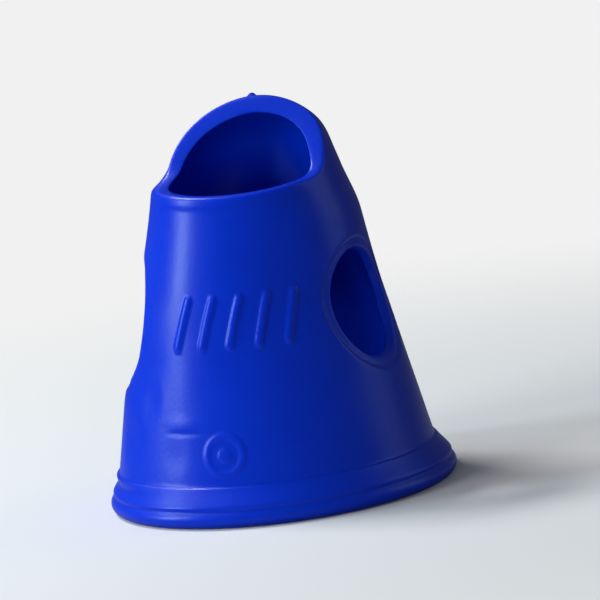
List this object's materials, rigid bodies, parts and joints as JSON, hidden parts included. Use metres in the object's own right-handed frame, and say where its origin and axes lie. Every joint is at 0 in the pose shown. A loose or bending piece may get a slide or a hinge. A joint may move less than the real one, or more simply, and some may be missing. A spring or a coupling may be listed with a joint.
{
  "type": "rubber finger tip",
  "caption": "Tapered rubber finger tip for leafing through paper, with a beaded rim, an open nail side under a rounded hood and oval vent holes in its sides.",
  "frame": {"origin": "centre of the rim's flat underside, on the finger's axis", "axes": "+Z from the open rim up to the crown of the hood, -Y towards the open nail side, +Y towards the closed pad side"},
  "size_m": [0.0292, 0.0292, 0.0335],
  "materials": {
    "blue_rubber": "smooth satin moulded rubber, saturated blue all through"
  },
  "bodies": {
    "root": {"finger_tip": "blue_rubber"}
  },
  "joints": []
}
